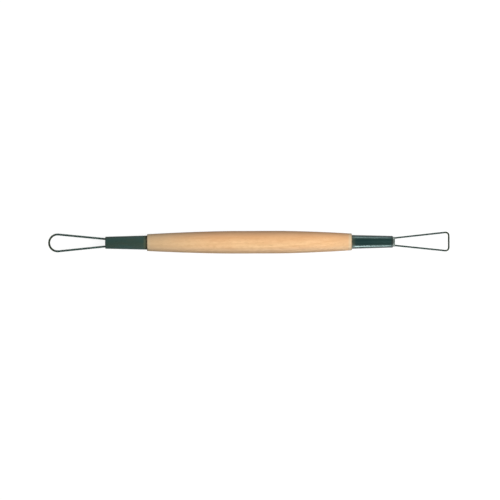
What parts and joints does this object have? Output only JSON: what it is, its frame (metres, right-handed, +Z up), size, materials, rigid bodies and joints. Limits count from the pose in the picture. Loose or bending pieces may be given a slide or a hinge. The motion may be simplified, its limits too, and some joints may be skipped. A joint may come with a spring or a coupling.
{
  "type": "wire modelling tool",
  "caption": "Double-ended clay modelling tool: turned wooden handle, tapered ferrules, and a round and a square wire loop bound with fine wire for a coiled edge.",
  "frame": {"origin": "on the handle's axis, midway between the tips of the two loops, which is the centre of the bounding box", "axes": "+X along the tool towards the square loop, +Y across the tool in the plane of both loops, +Z up, square to that plane"},
  "size_m": [0.2, 0.0112, 0.0112],
  "materials": {
    "handle_wood": "smooth turned hardwood with a thin satin lacquer, pale honey, fine straight grain",
    "ferrule_metal": "blackened steel tube with a green cast, semi-gloss",
    "plug_metal": "dull grey soft solder",
    "loop_steel": "drawn spring steel wire",
    "winding_steel": "fine steel wire, wound"
  },
  "bodies": {
    "root": {"handle": "handle_wood", "round_end_ferrule": "ferrule_metal", "square_end_ferrule": "ferrule_metal", "round_end_plug": "plug_metal", "square_end_plug": "plug_metal", "round_loop_wire": "loop_steel", "square_loop_wire": "loop_steel", "round_edge_coil": "winding_steel", "square_edge_coil": "winding_steel"}
  },
  "joints": []
}
